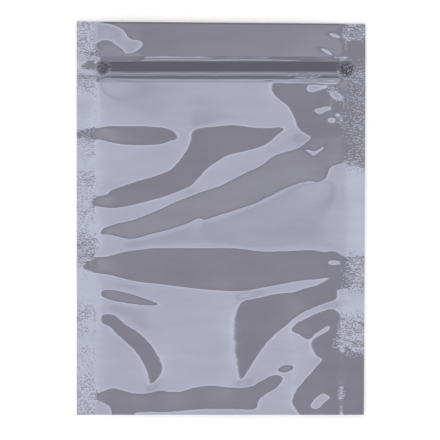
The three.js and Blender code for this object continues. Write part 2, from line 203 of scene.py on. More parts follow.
# Small faces inside those, and on the lip, where the film rises again
RISING_FACES = {
    "lip_tongue": [
        (76, 21, 61), (88, 22, 61), (92, 22.2, 50), (96, 22.5, 43), (99, 22.6, 40),
        (103, 23.5, 39.3), (110, 24.8, 39.8), (113, 25.6, 41.2),
        (117, 26.7, 45), (120, 28.3, 47), (123, 30.3, 50), (124.5, 33, 54.5),
        (126, 36.5, 54.6), (130, 39.8, 54), (134, 40.5, 52), (138, 40.5, 48.8),
        (140.5, 42, 45.5), (141.3, 43.7, 43.7),
    ],
    "lip_fleck_a": [
        (329, 31, 31.5), (331, 30.8, 34.5), (334, 32, 36.8), (338, 34, 37.8),
        (341.5, 37.3, 37.6),
    ],
    "lip_fleck_b": [
        (319.5, 46.6, 47.2), (323, 47, 51.3), (327, 48.2, 54.5), (331.3, 49.8, 56),
        (334.8, 53.5, 59), (337.6, 56.5, 59.9), (340.5, 59.2, 59.9),
    ],
    "shoulder_fleck_a": [
        (308.5, 86.5, 89), (309.5, 85.5, 91), (312.5, 85, 92), (316, 85.6, 90.4),
        (320, 86.9, 88.3), (329, 86.8, 87.2),
    ],
    "shoulder_fleck_b": [
        (333.5, 92, 95), (336, 93, 98.5), (340, 94, 100), (343, 96, 102), (346, 96.5, 98),
    ],
    "shoulder_fleck_c": [
        (315, 110, 110.5), (318, 109.5, 112), (320, 109.3, 115.5), (322, 108.8, 112.3),
        (325, 108, 110), (330, 108, 108.7),
    ],
    "shoulder_fleck_d": [(330, 119, 121), (332, 118.8, 122), (334, 120, 122)],
    "shoulder_fleck_e": [
        (337, 113.5, 114.5), (339, 112.5, 117), (341, 115, 123.5), (343, 122, 124),
    ],
    "smile": [
        (303.5, 148, 149.5), (307, 149.3, 151.5), (311, 150.7, 153), (313.5, 151.5, 157),
        (315, 151.7, 157), (317, 151, 153.5), (320, 149.2, 151.8), (323, 146, 150),
        (325, 144.5, 147.5),
    ],
    "seam_glint_upper": [(341.2, 337, 353), (345.5, 337, 353)],
    "seam_glint_lower": [(340.2, 385, 399), (345.5, 385, 398)],
    "seam_glint_last": [(341.2, 399, 416), (344.8, 399, 416)],
    "band_fleck": [
        (328.8, 261.5, 263.5), (331, 260.6, 264.6), (335, 260.2, 265), (339, 260.8, 264.6),
        (341, 262, 263.5),
    ],
    "corner_tag": [
        (312.3, 405, 407), (315, 400.5, 409), (319.5, 396, 409.5), (322, 394.3, 406.5),
        (325.5, 392.6, 403), (328, 396.2, 400.3), (331, 396.8, 397.8), (335, 394.5, 394.8),
    ],
}

# The knurled side seals: row of the photograph, slope of the film there and depth of the
# knurling. Where the film is nearly level, the knurling turns its tone over grain by grain.
LEFT_SEAL = [
    (22, 0.004, 1.0), (58, 0.005, 1.0), (62, 0.012, 0.2), (75, 0.008, 0.4), (88, 0.004, 1.0),
    (96, 0.016, 0.3), (104, 0.019, 0.1), (126, 0.018, 0.1), (132, 0.006, 0.8),
    (142, 0.010, 0.3), (168, 0.013, 0.1), (178, 0.008, 0.6), (196, 0.013, 0.3),
    (215, 0.010, 0.5), (228, 0.014, 0.2), (240, 0.005, 1.0), (258, 0.004, 1.0),
    (264, 0.01, 0.5), (278, 0.015, 0.1), (300, 0.014, 0.2), (312, 0.009, 0.6),
    (332, 0.009, 0.5), (342, 0.014, 0.1), (352, 0.010, 0.5), (372, 0.013, 0.3),
    (384, 0.005, 0.9), (414, 0.005, 0.9),
]
RIGHT_SEAL = [
    (24, 0.002, 1.0), (36, 0.002, 1.0), (42, 0.014, 0.1), (58, 0.012, 0.2), (64, 0.006, 1.0),
    (78, 0.006, 1.0), (90, 0.004, 1.0), (112, 0.005, 0.8), (122, 0.002, 0.7),
    (150, 0.002, 0.7), (166, 0.004, 0.7), (174, 0.009, 0.05), (248, 0.009, 0.05),
    (258, 0.004, 0.9), (288, 0.004, 0.9), (296, 0.010, 0.1), (312, 0.010, 0.2),
    (322, 0.003, 1.0), (352, 0.003, 1.0), (360, 0.02, 0.1), (414, 0.02, 0.1),
]
KNURL_LEFT_END = 95.5
KNURL_RIGHT_START = 344.5
KNURL_LEFT_FADE = (95.0, 97.0)
KNURL_RIGHT_FADE = (340.5, 342.5)

# Least slopes of the film where it rises, and samples each way in a cell on a face's edge
RISE_LEAST = 0.022
FLECK_RISE = 0.028
TONGUE_RISE = 0.064
EDGE_SAMPLES = 4
EDGE_SHARE = 0.1

# How the film settles: what its slopes and its bending weigh, the heights that it is drawn
# to and how strongly, and the rounds and steps that it takes
STIFFNESS_ACROSS = 0.05
BENDING = 0.035 * MM**2
SEAL_WEIGHT = 3.0
POCKET_REST = 0.9 * MM
SEAL_REST = 0.5 * MM
LOOSE_PIN = 30.0
FOLD_PIN = 300.0
SUNK_PIN = 2e5
ZIP_PIN = 5e7
LIFT_OFF = 0.04 * MM
SETTLING_ROUNDS = 24
FIRST_STEPS = 400
ROUND_STEPS = 120
STIFFER_EACH_ROUND = 1.25
STIFFEST = 12.0

CAMERA_HEIGHT = 5.0
CAMERA_NEAREST = 0.1


def photo_row(y):
    return PHOTO_BOTTOM - y / PIXEL


def photo_column(x):
    return PHOTO_LEFT + x / PIXEL_ACROSS


def smooth(value, low, high):
    t = np.clip((value - low) / (high - low), 0, 1)
    return t * t * (3 - 2 * t)


def from_seal(x):
    return np.minimum(x - SEAL_WIDTH, BAG_WIDTH - SEAL_WIDTH - x)


def on_zip(y):
    return (y >= TAPE_BOTTOM - SAME_PLACE) & (y <= TAPE_TOP + SAME_PLACE)


def zip_height(x):
    """Front film over the zip: full height, coming down over the zip's crushed ends."""
    rise = smooth(from_seal(x), -CRUSH_RUN_OUT, CRUSH_LENGTH + CRUSH_RAMP)
    return SEALED_ZIP_TOP + (ZIP_TOP - SEALED_ZIP_TOP) * rise


def inside(stations, columns, rows):
    """Which of the places lie inside a face."""
    across, upper, lower = np.array(stations, float).T
    top = np.interp(columns, across, upper)
    bottom = np.interp(columns, across, lower)
    reached = (columns >= across[0]) & (columns <= across[-1])
    return reached[None, :] & (rows[:, None] >= top) & (rows[:, None] <= bottom)


def falling_at(columns, rows):
    """Where the film falls towards the mouth, and how steep it is there at least."""
    falls = np.zeros((len(rows), len(columns)), bool)
    least = np.full(falls.shape, RISE_LEAST)
    for fall, stations in FALLING_FACES.values():
        face = inside(stations, columns, rows)
        falls |= face
        least[face] = fall
    for name, stations in RISING_FACES.items():
        face = inside(stations, columns, rows)
        falls &= ~face
        least[face] = TONGUE_RISE if name == "lip_tongue" else FLECK_RISE
    return falls, least


def seal_values(rows, seal, which):
    """Slope (1) or depth of the knurling (2) of a side seal by row."""
    values = np.array(seal, float).T
    return np.interp(rows, values[0], values[which])


class Relief:
    """Height of the front film on its grid, found from the signs that its slope must have.

    The film settles where its slopes along the bag have the right signs, with as little
    slope across the bag and as little bending as those leave."""

    def __init__(self):
        self.x = np.linspace(0, BAG_WIDTH, CELLS_ACROSS + 1)
        self.y = np.linspace(0, BAG_LENGTH, CELLS_ALONG + 1)
        self.dx = self.x[1]
        self.dy = self.y[1]
        self.middle = (self.y[1:] + self.y[:-1]) / 2
        self.read_faces()
        self.set_pins()

    def read_faces(self):
        """Sign and least size of the slope in each cell, and how much of the cell falls."""
        columns = photo_column(self.x)
        rows = photo_row(self.middle)
        shape = (len(rows), len(columns))
        self.falls, self.least = falling_at(columns, rows)
        part = (self.dx / PIXEL_ACROSS / EDGE_SAMPLES, self.dy / PIXEL / EDGE_SAMPLES)
        shifts = np.arange(EDGE_SAMPLES) - (EDGE_SAMPLES - 1) / 2
        self.share = np.mean([
            falling_at(columns + a * part[0], rows + b * part[1])[0]
            for a in shifts
            for b in shifts
        ], axis=0)
        self.knurled = np.zeros(shape, bool)
        self.knurled[:, columns <= KNURL_LEFT_END] = True
        self.knurled[:, columns >= KNURL_RIGHT_START] = True
        left, right = (seal_values(rows, seal, 1) for seal in (LEFT_SEAL, RIGHT_SEAL))
        seal = np.where(columns[None, :] < PHOTO_SIDE / 2, left[:, None], right[:, None])
        self.least[self.knurled] = seal[self.knurled]
        # The camera's own slant at each row: a slope of half as much reflects straight up
        slant = (self.middle - BAG_LENGTH / 2) / (2 * CAMERA_HEIGHT)
        self.level = np.broadcast_to(slant[:, None], shape)

    def set_pins(self):
        """Heights that the film is drawn to: loose in the pocket, tight over the zip."""
        shape = (len(self.y), len(self.x))
        self.pin = np.full(shape, LOOSE_PIN)
        self.rest = np.full(shape, POCKET_REST)
        seals = from_seal(self.x) < 0
        self.rest[:, seals] = SEAL_REST
        self.pin[0, :] = FOLD_PIN
        self.rest[0, :] = FLAT_TOP
        over_zip = on_zip(self.y)[:, None] & (from_seal(self.x) > -CRUSH_RUN_OUT)[None, :]
        self.rest = np.where(over_zip, zip_height(self.x)[None, :], self.rest)
        self.pin[over_zip] = ZIP_PIN
        self.weight = np.where(self.knurled, SEAL_WEIGHT, 1.0)
        self.weight[over_zip[1:] | over_zip[:-1]] = 0
        self.fixed = over_zip

    def along(self, h):
        return (h[1:] - h[:-1]) / self.dy

    def along_back(self, s):
        out = np.zeros((s.shape[0] + 1, s.shape[1]))
        out[1:] += s / self.dy
        out[:-1] -= s / self.dy
        return out

    def across(self, h):
        return (h[:, 1:] - h[:, :-1]) / self.dx

    def across_back(self, s):
        out = np.zeros((s.shape[0], s.shape[1] + 1))
        out[:, 1:] += s / self.dx
        out[:, :-1] -= s / self.dx
        return out

    def curve(self, h):
        return np.diff(h, 2, axis=0) / self.dy**2

    def curve_back(self, s):
        out = np.zeros((s.shape[0] + 2, s.shape[1]))
        out[2:] += s
        out[1:-1] -= 2 * s
        out[:-2] += s
        return out / self.dy**2

    def curve_across(self, h):
        return np.diff(h, 2, axis=1) / self.dx**2

    def curve_across_back(self, s):
        out = np.zeros((s.shape[0], s.shape[1] + 2))
        out[:, 2:] += s
        out[:, 1:-1] -= 2 * s
        out[:, :-2] += s
        return out / self.dx**2

    def forces(self, h):
        """What a height pulls at each point by its slopes, its bending and its pins."""
        twist = self.across_back(self.along_back(self.along(self.across(h))))
        return (
            self.along_back(self.weight * self.along(h))
            + STIFFNESS_ACROSS * self.across_back(self.across(h))
            + BENDING
            * (
                self.curve_back(self.curve(h))
                + self.curve_across_back(self.curve_across(h))
                + 2 * twist
            )
            + self.pin * h
        )

    def balance(self, load, h, steps):
        """Conjugate gradients from h towards the height that carries the load."""
        rest = load - self.forces(h)
        move = rest.copy()
        size = np.sum(rest * rest)
        for _ in range(steps):
            pull = self.forces(move)
            step = size / np.sum(move * pull)
            h = h + step * move
            rest = rest - step * pull
            new_size = np.sum(rest * rest)
            move = rest + (new_size / size) * move
            size = new_size
        return h

    def wanted(self, slope):
        """The nearest slope that shows the right tone."""
        falling = np.minimum(slope, self.level - self.least)
        rising = np.maximum(slope, self.level + self.least)
        exact = self.level + self.least * (1 - 2 * self.share)
        edge = (self.share > EDGE_SHARE) & (self.share < 1 - EDGE_SHARE)
        free = np.where(self.falls, falling, rising)
        return np.where(self.knurled | edge, exact, free)

    def settle(self):
        """Turns between the wanted slopes and the heights that come nearest to them."""
        h = self.rest.copy()
        slope = np.where(self.falls, -RISE_LEAST, RISE_LEAST)
        first_weight = self.weight
        first_pin = self.pin
        for turn in range(SETTLING_ROUNDS):
            load = self.along_back(self.weight * self.wanted(slope)) + self.pin * self.rest
            h = self.balance(load, h, FIRST_STEPS if turn == 0 else ROUND_STEPS)
            slope = self.along(h)
            wrong = ((slope < self.level) != self.falls) & (first_weight > 0)
            wrong &= np.abs(self.share - 0.5) > 0.5 - EDGE_SHARE
            stiffer = np.minimum(self.weight * STIFFER_EACH_ROUND, first_weight * STIFFEST)
            self.weight = np.where(wrong, stiffer, self.weight)
            sunk = (h < FLAT_TOP + LIFT_OFF / 2) & ~self.fixed
            lifted = ~sunk & (h > FLAT_TOP + 2 * LIFT_OFF)
            self.pin = np.where(sunk, SUNK_PIN, np.where(lifted, first_pin, self.pin))
            held = (self.pin > first_pin) & ~self.fixed
            self.rest = np.where(held, FLAT_TOP + LIFT_OFF, self.rest)
        return np.maximum(h, FLAT_TOP)


def back_height(x, y, front):
    """Outer face of the back film: flat in the middle, lifted along the seals and fold."""
    room = POCKET_DEPTH * smooth(from_seal(x), 0, LIFT_REACH)[None, :]
    room = room * np.clip(y / LIFT_REACH, 0, 1)[:, None]
    height = np.maximum(0, front - FLAT_TOP - room)
    height[on_zip(y), :] = 0
    return height


def link(fine, coarse):
    """Triangles between a row of vertices and one with half as many cells."""
    faces = []
    for i in range(len(coarse) - 1):
        a, b, c = fine[2 * i : 2 * i + 3]
        d, e = coarse[i : i + 2]
        faces += [(a, b, d), (b, e, d), (b, c, e)]
    return faces


def quads(index):
    a, b = index[:-1, :-1], index[:-1, 1:]
    c, d = index[1:, 1:], index[1:, :-1]
    return np.stack([a, b, c, d], -1).reshape(-1, 4).tolist()


# Middle and half size of the zip's crushed ends and of the places where the film is finely
# wrinkled, in pixels of the photograph, and where their soft edges start and end
CRUSHED_ENDS = [((103.0, 68.0), (7.5, 8.5)), ((347.0, 69.5), (9.0, 10.0))]
WRINKLED = [
    ((101, 52), (13, 10)), ((104, 76), (9, 5)), ((351, 72), (12, 13)), ((345, 96), (11, 10)),
    ((334, 89), (8, 4)), ((343, 122), (6, 6)), ((92, 246), (8, 10)), ((347, 262), (9, 7)),
    ((345, 335), (7, 16)), ((343, 392), (4, 8)), ((97, 397), (9, 9)), ((337, 342), (5, 7)),
    ((305, 75), (20, 3)),
]
PATCH_EDGE = (0.65, 1.1)
SHARP_FROM = math.radians(50)


def within(ellipses, column, row):
    """1 inside any of the ellipses, 0 outside, soft at their edges."""
    found = np.zeros(len(column))
    for (x, y), (wide, high) in ellipses:
        apart = np.hypot((column - x) / wide, (row - y) / high)
        found = np.maximum(found, 1 - smooth(apart, *PATCH_EDGE))
    return found


def skewed(flat):
    """The flat grid's points moved to the bag's middle, with its tapers and slanted mouth."""
    place = flat.copy()
    across = flat[:, 0] / BAG_WIDTH
    above = np.clip((flat[:, 1] - TAPE_TOP) / (BAG_LENGTH - TAPE_TOP), 0, None)
    below = np.clip((TAPE_BOTTOM - flat[:, 1]) / TAPE_BOTTOM, 0, None)
    place[:, 0] -= EDGE_TAPER * across * below + BAG_WIDTH / 2
    place[:, 1] -= MOUTH_SKEW * across * above + BAG_LENGTH / 2
    return place


class Web:
    """The film as one thin-walled closed solid: fused at the seals, open at the mouth.

    Its four faces are the outer and inner faces of the front and of the back film."""

    def __init__(self, relief, front):
        self.points = []
        x, y = relief.x, relief.y
        half_x, half_y = x[::2], y[::2]
        back = back_height(x, y, front)[::2, ::2]
        self.front = self.add(x, y, front)
        self.back = self.add(half_x, half_y, back)
        self.seam = int(round(SEAL_WIDTH / relief.dx / 2))
        self.last = len(half_x) - 1 - self.seam
        self.add_pocket(half_x, half_y, front[::2, ::2], back)

    def add(self, xs, ys, heights):
        start = len(self.points)
        grid_x, grid_y = np.meshgrid(xs, ys)
        flat = np.stack([grid_x, grid_y, heights], -1).reshape(-1, 3)
        self.points.extend(flat.tolist())
        return start + np.arange(len(flat)).reshape(len(ys), len(xs))

    def add_pocket(self, half_x, half_y, front, back):
        """Both inner faces, which meet along the seals and in the bottom fold."""
        seams = slice(self.seam, self.last + 1)
        share = FOLD_INSET / half_y[1]
        inner_y = np.concatenate([[FOLD_INSET], half_y[1:]])
        upper = front[:, seams].copy()
        lower = back[:, seams].copy()
        upper[0] += (upper[1] - upper[0]) * share
        lower[0] += (lower[1] - lower[0]) * share
        self.front_inner = self.add(half_x[seams], inner_y, upper - FILM_WALL)
        self.back_inner = self.add(half_x[seams], inner_y, lower + FILM_WALL)
        points = self.points
        for edge in (np.s_[:, 0], np.s_[:, -1], np.s_[0, :]):
            for a, b in zip(self.front_inner[edge].tolist(), self.back_inner[edge].tolist()):
                points[a] = [points[a][0], points[a][1], (points[a][2] + points[b][2]) / 2]
            self.back_inner[edge] = self.front_inner[edge]

    def faces(self):
        front, back = self.front, self.back
        faces = []
        for index in (front, back, self.front_inner, self.back_inner):
            faces += quads(index)
        for edge in (np.s_[:, 0], np.s_[:, -1], np.s_[0]):
            faces += link(front[edge].tolist(), back[edge].tolist())
        return faces + self.mouth_faces()

    def mouth_faces(self):
        """The film's cut edges at the mouth, closed where the seals are."""
        front, back = self.front[-1].tolist(), self.back[-1].tolist()
        inner_front = self.front_inner[-1].tolist()
        inner_back = self.back_inner[-1].tolist()
        seam, last = self.seam, self.last
        faces = link(front[: 2 * seam + 1], back[: seam + 1])
        faces += link(front[2 * last :], back[last:])
        faces += link(front[2 * seam : 2 * last + 1], inner_front)
        for i in range(len(inner_back) - 1):
            at = seam + i
            faces.append((inner_back[i], inner_back[i + 1], back[at + 1], back[at]))
        for at, corner in ((seam, inner_front[0]), (last, inner_front[-1])):
            faces.append((front[2 * at], corner, back[at]))
        return faces


def build_film(relief, front):
    web = Web(relief, front)
    flat = np.array(web.points)
    mesh = bpy.data.meshes.new("film_web")
    mesh.from_pydata(skewed(flat).tolist(), [], web.faces())
    clean = bmesh.new()
    clean.from_mesh(mesh)
    bmesh.ops.recalc_face_normals(clean, faces=clean.faces)
    clean.to_mesh(mesh)
    clean.free()
    mesh.shade_smooth()
    mesh.set_sharp_from_angle(angle=SHARP_FROM)
    add_patches(mesh, flat)
    film = bpy.data.objects.new("film_web", mesh)
    bpy.context.scene.collection.objects.link(film)
    return film


def add_patches(mesh, flat):
    """Stores where the film is knurled and crushed, and its flat place, for its material."""
    column = photo_column(flat[:, 0])
    row = photo_row(flat[:, 1])
    on_left = 1 - smooth(column, *KNURL_LEFT_FADE)
    on_right = smooth(column, *KNURL_RIGHT_FADE)
    knurled = on_left * seal_values(row, LEFT_SEAL, 2)
    knurled += on_right * seal_values(row, RIGHT_SEAL, 2)
    knurled = np.maximum(knurled, within(WRINKLED, column, row))
    crushed = within(CRUSHED_ENDS, column, row)
    for name, values in (("knurled", knurled), ("crushed", crushed)):
        layer = mesh.attributes.new(name, "FLOAT", "POINT")
        layer.data.foreach_set("value", values.astype(np.float32))
    layer = mesh.attributes.new("flat_place", "FLOAT_VECTOR", "POINT")
    layer.data.foreach_set("vector", (flat / MM).astype(np.float32).ravel())


class Nodes:
    """Short names for the few node kinds that the materials use."""

    def __init__(self, tree):
        self.tree = tree
        tree.nodes.clear()

    def add(self, kind, **settings):
        node = self.tree.nodes.new(kind)
        for name, value in settings.items():
            setattr(node, name, value)
        return node

    def set(self, socket, value):
        if isinstance(value, bpy.types.NodeSocket):
            self.tree.links.new(value, socket)
        else:
            socket.default_value = value

    def math(self, operation, *values, clamp=False):
        node = self.add("ShaderNodeMath", operation=operation, use_clamp=clamp)
        for socket, value in zip(node.inputs, values):
            self.set(socket, value)
        return node.outputs[0]

    def step(self, value, low, high):
        """0 below low, 1 above high, smooth between."""
        node = self.add("ShaderNodeMapRange", interpolation_type="SMOOTHSTEP")
        self.set(node.inputs["Value"], value)
        node.inputs["From Min"].default_value = low
        node.inputs["From Max"].default_value = high
        return node.outputs["Result"]

    def strip(self, value, low, high, soft):
        """1 between low and high."""
        up = self.step(value, low - soft / 2, low + soft / 2)
        down = self.step(value, high - soft / 2, high + soft / 2)
        return self.math("SUBTRACT", up, down, clamp=True)

    def attribute(self, name, output="Fac"):
        return self.add("ShaderNodeAttribute", attribute_name=name).outputs[output]

    def noise(self, vector, scale, detail=2.0, rough=0.5):
        node = self.add("ShaderNodeTexNoise")
        self.set(node.inputs["Vector"], vector)
        node.inputs["Scale"].default_value = scale
        node.inputs["Detail"].default_value = detail
        node.inputs["Roughness"].default_value = rough
        return node.outputs["Fac"]

    def ramp(self, value, stops):
        """Colour by value, straight from stop to stop."""
        node = self.add("ShaderNodeValToRGB")
        self.set(node.inputs[0], value)
        elements = node.color_ramp.elements
        while len(elements) > 1:
            elements.remove(elements[-1])
        for i, (where, color) in enumerate(stops):
            stop = elements[0] if i == 0 else elements.new(where)
            stop.position = where
            stop.color = (*color, 1)
        return node.outputs["Color"]

    def blend(self, first, second, share):
        """From the first colour to the second."""
        node = self.add("ShaderNodeMix", data_type="RGBA")
        self.set(node.inputs["Factor"], share)
        self.set(node.inputs[6], first)
        self.set(node.inputs[7], second)
        return node.outputs[2]

    def scaled(self, vector, factors):
        node = self.add("ShaderNodeVectorMath", operation="MULTIPLY")
        self.set(node.inputs[0], vector)
        node.inputs[1].default_value = factors
        return node.outputs[0]

    def color(self, value):
        node = self.add("ShaderNodeRGB")
        node.outputs[0].default_value = (*value, 1)
        return node.outputs[0]

    def bump(self, height, strength, distance):
        node = self.add("ShaderNodeBump")
        node.inputs["Strength"].default_value = strength
        node.inputs["Distance"].default_value = distance
        self.set(node.inputs["Height"], height)
        return node.outputs["Normal"]

    def shade(self, color, factor):
        """A colour times a grey factor."""
        node = self.add("ShaderNodeVectorMath", operation="SCALE")
        self.set(node.inputs[0], color)
        self.set(node.inputs["Scale"], factor)
        return node.outputs[0]


def new_material(name):
    material = bpy.data.materials.new(name)
    material.use_nodes = True
    nodes = Nodes(material.node_tree)
    shader = nodes.add("ShaderNodeBsdfPrincipled")
    output = nodes.add("ShaderNodeOutputMaterial")
    nodes.set(output.inputs["Surface"], shader.outputs["BSDF"])
    return material, nodes, shader


FILM_COLOR = (0.404, 0.408, 0.510)
FILM_ROUGHNESS = 0.055

# Darker bands of the film. The zip band, the zip tape and the tape line are painted shade of the
# zip strips lying behind the film; the mouth line darkens a thin line along the mouth's edge.
# Each gives the rows of the photograph that it spans, how soft its edges are in millimetres, and
# the share of the brightness that it takes
ZIP_BAND_PAINTED_SHADE = ((61.8, 71.5), 0.25, 0.47)
ZIP_TAPE_PAINTED_SHADE = ((56.4, 82.6), 0.5, 0.20)
TAPE_LINE_PAINTED_SHADE = ((75.8, 78.9), 0.3, 0.10)
MOUTH_LINE = ((19.0, 23.4), 0.2, 0.30)
# Painted shade of the zip's crushed ends, which small specks leave out as painted glints
CRUSH_PAINTED_SHADE = 0.66

# Millimetres across the bag between which the bands show, and how soft their ends are
BAND_REACH = (9.2, 101.6, 1.0)
MOUTH_REACH = (9.0, 100.0, 2.0)
STREAK_REACH = (-5.0, 101.2, 1.5)
STREAKS_BEYOND = 0.25

# Noises, as waves per millimetre across and along the bag
# Specks where the crushed ends' painted shade is left out, as painted glints
GLINT_SPECKS = (1.6, 1.6, 0.0)
GLINT_SPECK_EDGE = (0.57, 0.64)
MOTTLE = (0.04, 0.14, 0.0)
MOTTLE_SPAN = 0.21
MOTTLE_LEAST = 0.90
GRAINS = (0.85, 1.1, 0.0)
GRAIN_EDGE = (0.05, 0.42)
GRAIN_SCATTER = 0.9
PATCHES = (0.3, 0.22, 0.0)
PATCH_TONE = (0.36, 0.62)
PATCH_SPAN = 0.8
SWAY = (0.07, 0.0, 0.0)
SWAY_LENGTH = 0.9
UNEVEN = (0.12, 0.0, 0.0)
UNEVEN_SPAN = 0.8
UNEVEN_LEAST = 0.6
WAVES = (0.05, 0.22, 0.0)

# How far each relief lifts the film, in millimetres
KNURL_LIFT = 0.012
CRUSH_LIFT = 0.11
WAVE_LIFT = 0.011

# Streaks of the film where it is drawn over the zip: row of the photograph, and the lift of
# the film there in thousandths of a millimetre
ZIP_STREAKS = [
    (55.0, 42), (56.6, 42), (58.3, 24), (59.3, 25), (60.6, 13), (61.8, 16), (71.6, 22),
    (73.0, 21), (73.9, 10), (74.8, 11), (75.4, 5), (79.2, 14), (80.5, 6), (81.4, 7),
    (83.0, 0), (85.0, 0),
]


def row_mm(row):
    """Place along the flat bag of a row of the photograph."""
    return (PHOTO_BOTTOM - row) * PIXEL / MM


def dark_band(nodes, along, reach, band_shade):
    """How much of the brightness a band takes, by place."""
    (upper, lower), soft, dark = band_shade
    rows = nodes.strip(along, row_mm(lower), row_mm(upper), soft)
    return nodes.math("MULTIPLY", nodes.math("MULTIPLY", rows, reach), dark)


def painted_shade_and_mottle(nodes, place, across, along):
    """How much of the film's brightness is left, by place: painted shade over the zip and its
    crushed ends, a darker line along the mouth, and a random mottle.
    """
    # Zip band, zip tape and tape line: painted shade of the zip strips lying behind the film
    reach = nodes.strip(across, *BAND_REACH)
    tape_shade = dark_band(nodes, along, reach, ZIP_TAPE_PAINTED_SHADE)
    tape_line_shade = dark_band(nodes, along, reach, TAPE_LINE_PAINTED_SHADE)
    band_shade = dark_band(nodes, along, reach, ZIP_BAND_PAINTED_SHADE)
    mouth = dark_band(nodes, along, nodes.strip(across, *MOUTH_REACH), MOUTH_LINE)
    # Crushed zip ends: painted shade, left out in small specks that stand in for glints
    glint_specks = nodes.step(nodes.noise(nodes.scaled(place, GLINT_SPECKS), 1.0, 1.0), *GLINT_SPECK_EDGE)
    crushed = nodes.math("MULTIPLY", nodes.attribute("crushed"), CRUSH_PAINTED_SHADE)
    crushed = nodes.math("MULTIPLY", crushed, nodes.math("SUBTRACT", 1.0, glint_specks))
    dark = nodes.math("ADD", tape_shade, tape_line_shade)
    for other in (band_shade, mouth, crushed):
        dark = nodes.math("MAXIMUM", dark, other)
    mottle = nodes.noise(nodes.scaled(place, MOTTLE), 1.0, 3.0)
    mottle = nodes.math("MULTIPLY_ADD", mottle, MOTTLE_SPAN, MOTTLE_LEAST)
    return nodes.math("MULTIPLY", nodes.math("SUBTRACT", 1.0, dark), mottle)


def knurl_lift(nodes, place):
    """The dimples of the knurled seals and the coarser ones of the crushed zip ends."""
    grains = nodes.add("ShaderNodeTexVoronoi", voronoi_dimensions="2D")
    nodes.set(grains.inputs["Vector"], nodes.scaled(place, GRAINS))
    grains.inputs["Scale"].default_value = 1.0
    grains.inputs["Randomness"].default_value = GRAIN_SCATTER
    fine = nodes.step(grains.outputs["Distance"], *GRAIN_EDGE)
    patches = nodes.step(nodes.noise(nodes.scaled(place, PATCHES), 1.0, 2.0, 0.6), *PATCH_TONE)
    patchy = nodes.math("MULTIPLY_ADD", patches, PATCH_SPAN, 1 - PATCH_SPAN)
    knurl = nodes.math("MULTIPLY", patchy, nodes.attribute("knurled"))
    knurl = nodes.math("MULTIPLY", knurl, KNURL_LIFT)
    crush = nodes.math("MULTIPLY", nodes.attribute("crushed"), CRUSH_LIFT)
    return nodes.math("MULTIPLY", fine, nodes.math("MAXIMUM", knurl, crush))


def streak_lift(nodes, place, across, along):
    """The streaks over the zip, which sway a little and are stronger here and there."""
    sway = nodes.noise(nodes.scaled(place, SWAY), 1.0, 2.0)
    unswayed = nodes.math("SUBTRACT", along, SWAY_LENGTH / 2)
    swayed = nodes.math("MULTIPLY_ADD", sway, SWAY_LENGTH, unswayed)
    low, high = row_mm(ZIP_STREAKS[-1][0]), row_mm(ZIP_STREAKS[0][0])
    span = high - low
    share = nodes.math("MULTIPLY_ADD", swayed, 1 / span, -low / span, clamp=True)
    lifts = [lift for _, lift in ZIP_STREAKS]
    least, most = min(lifts), max(lifts)
    stops = []
    for row, lift in reversed(ZIP_STREAKS):
        grey = (lift - least) / (most - least)
        stops.append(((row_mm(row) - low) / span, (grey, grey, grey)))
    streaks = nodes.ramp(share, stops)
    uneven = nodes.noise(nodes.scaled(place, UNEVEN), 1.0, 2.0)
    strength = nodes.math("MULTIPLY_ADD", uneven, UNEVEN_SPAN, UNEVEN_LEAST)
    strength = nodes.math("MULTIPLY", strength, (most - least) / 1000)
    reach = nodes.strip(across, *STREAK_REACH)
    reach = nodes.math("MULTIPLY_ADD", reach, 1 - STREAKS_BEYOND, STREAKS_BEYOND)
    strength = nodes.math("MULTIPLY", strength, reach)
    return nodes.math("MULTIPLY", streaks, strength)


def film_lift(nodes, place, across, along):
    """Fine relief of the film in millimetres: knurled seals, crushed ends, zip streaks."""
    lift = knurl_lift(nodes, place)
    streaks = streak_lift(nodes, place, across, along)
    waves = nodes.noise(nodes.scaled(place, WAVES), 1.0, 2.0)
    waves = nodes.math("MULTIPLY", waves, WAVE_LIFT)
    return nodes.math("ADD", nodes.math("ADD", lift, streaks), waves)


def film_material():
    material, nodes, shader = new_material("metallised_film")
    place = nodes.attribute("flat_place", "Vector")
    split = nodes.add("ShaderNodeSeparateXYZ")
    nodes.set(split.inputs[0], place)
    across, along = split.outputs[0], split.outputs[1]
    # The film's base colour carries painted shade over the zip and its crushed ends, and a random
    # mottle
    shade = painted_shade_and_mottle(nodes, place, across, along)
    nodes.set(shader.inputs["Base Color"], nodes.shade(nodes.color(FILM_COLOR), shade))
    lift = film_lift(nodes, place, across, along)
    nodes.set(shader.inputs["Normal"], nodes.bump(lift, 1.0, MM))
    shader.inputs["Metallic"].default_value = 1.0
    shader.inputs["Roughness"].default_value = FILM_ROUGHNESS
    return material


CHANNEL_COLOR = (0.60, 0.61, 0.63)
RIB_COLOR = (0.62, 0.63, 0.65)
STRIP_STREAKS = (40, 2500, 2500)
STRIP_TONE_SPAN = 0.16
STRIP_TONE_LEAST = 0.92
STRIP_LIFT = 0.02 * MM


def strip_material(name, color):
    """Natural plastic of the zip, with the faint streaks of its extrusion."""
    material, nodes, shader = new_material(name)
    coordinates = nodes.add("ShaderNodeTexCoord").outputs["Object"]
    streaks = nodes.noise(nodes.scaled(coordinates, STRIP_STREAKS), 1.0, 2.0)
    factor = nodes.math("MULTIPLY_ADD", streaks, STRIP_TONE_SPAN, STRIP_TONE_LEAST)
    nodes.set(shader.inputs["Base Color"], nodes.shade(nodes.color(color), factor))
    nodes.set(shader.inputs["Normal"], nodes.bump(streaks, 0.4, STRIP_LIFT))
    shader.inputs["Roughness"].default_value = 0.38
    shader.inputs["Subsurface Weight"].default_value = 0.2
    shader.inputs["Subsurface Scale"].default_value = 0.5 * MM
    return material


WHITE = (1.0, 1.0, 1.0)
FLOOR_SIDE = 3.0
FLOOR_BELOW = 0.02 * MM
FLOOR_COLOR = (0.86, 0.86, 0.86)
FLOOR_GLOW = 0.30


